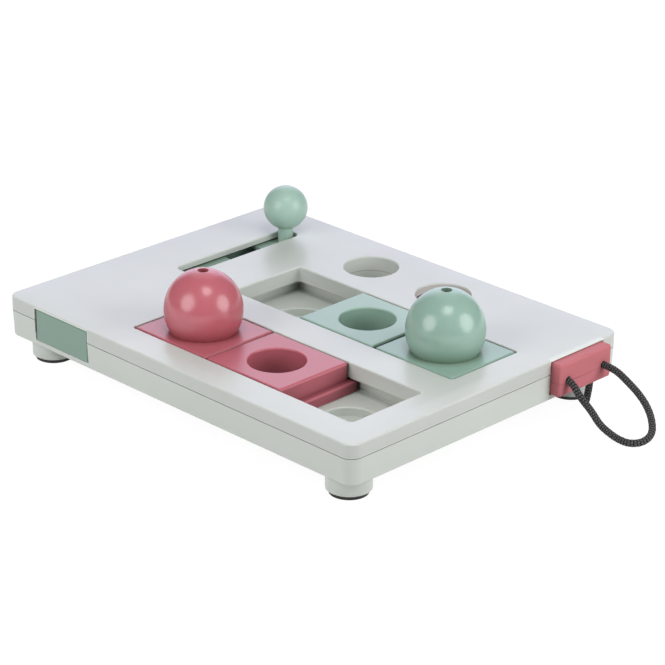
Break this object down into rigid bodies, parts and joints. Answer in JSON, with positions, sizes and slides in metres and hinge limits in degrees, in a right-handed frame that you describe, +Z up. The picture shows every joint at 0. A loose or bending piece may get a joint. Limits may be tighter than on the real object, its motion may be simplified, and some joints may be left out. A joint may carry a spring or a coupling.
{
  "type": "cat puzzle feeder",
  "caption": "Low board on round feet with treat wells under sliding blocks, dome knobs, a lever drawer and a drawer pulled by a rope loop.",
  "frame": {"origin": "on the floor, under the centre of the closed feeder without its rope", "axes": "+Z up, +X along the board to the rope drawer's end, -Y to the long side that the lever drawer comes out of"},
  "size_m": [0.3008, 0.19, 0.0662],
  "materials": {
    "white_shell": "satin moulded plastic",
    "black_rubber": "matt",
    "pink_plastic": "satin moulded plastic",
    "green_plastic": "satin moulded plastic",
    "black_rope": "braided cord",
    "zinc_steel": "zinc plated"
  },
  "bodies": {
    "board": {"top_cover": "white_shell", "base_tray": "white_shell", "foot_pad_front_left": "black_rubber", "foot_pad_front_right": "black_rubber", "foot_pad_rear_left": "black_rubber", "foot_pad_rear_right": "black_rubber", "housing_screws": "zinc_steel"},
    "pink_hole_block": {"pink_hole_slider": "pink_plastic"},
    "pink_dome_block": {"pink_dome_slider": "pink_plastic", "pink_dome": "pink_plastic", "pink_dome_screw": "zinc_steel"},
    "green_hole_block": {"green_hole_slider": "green_plastic"},
    "green_dome_block": {"green_dome_slider": "green_plastic", "green_dome": "green_plastic", "green_dome_screw": "zinc_steel"},
    "lever": {"lever_drawer": "green_plastic", "lever_stem": "green_plastic", "lever_ball": "green_plastic", "lever_screw": "zinc_steel"},
    "rope_pull": {"rope_drawer": "pink_plastic", "rope_knot_left": "black_rope", "rope_knot_right": "black_rope", "pull_rope": "black_rope", "rope_tail": "black_rope"}
  },
  "joints": [
    {"name": "pink_hole_slide", "type": "slide", "parent": "board", "child": "pink_hole_block", "axis": [1, 0, 0], "range_m": [0, 0.0481]},
    {"name": "pink_dome_slide", "type": "slide", "parent": "board", "child": "pink_dome_block", "axis": [1, 0, 0], "range_m": [0, 0.0481]},
    {"name": "green_hole_slide", "type": "slide", "parent": "board", "child": "green_hole_block", "axis": [-1, 0, 0], "range_m": [0, 0.0474]},
    {"name": "green_dome_slide", "type": "slide", "parent": "board", "child": "green_dome_block", "axis": [-1, 0, 0], "range_m": [0, 0.0474]},
    {"name": "lever_slide", "type": "slide", "parent": "board", "child": "lever", "axis": [0, -1, 0], "range_m": [0, 0.0705]},
    {"name": "rope_drawer_slide", "type": "slide", "parent": "board", "child": "rope_pull", "axis": [1, 0, 0], "range_m": [0, 0.09]}
  ],
  "couplings": [
    {"joint": "pink_hole_slide", "follows": "pink_dome_slide", "ratio": 1},
    {"joint": "green_hole_slide", "follows": "green_dome_slide", "ratio": 1}
  ]
}
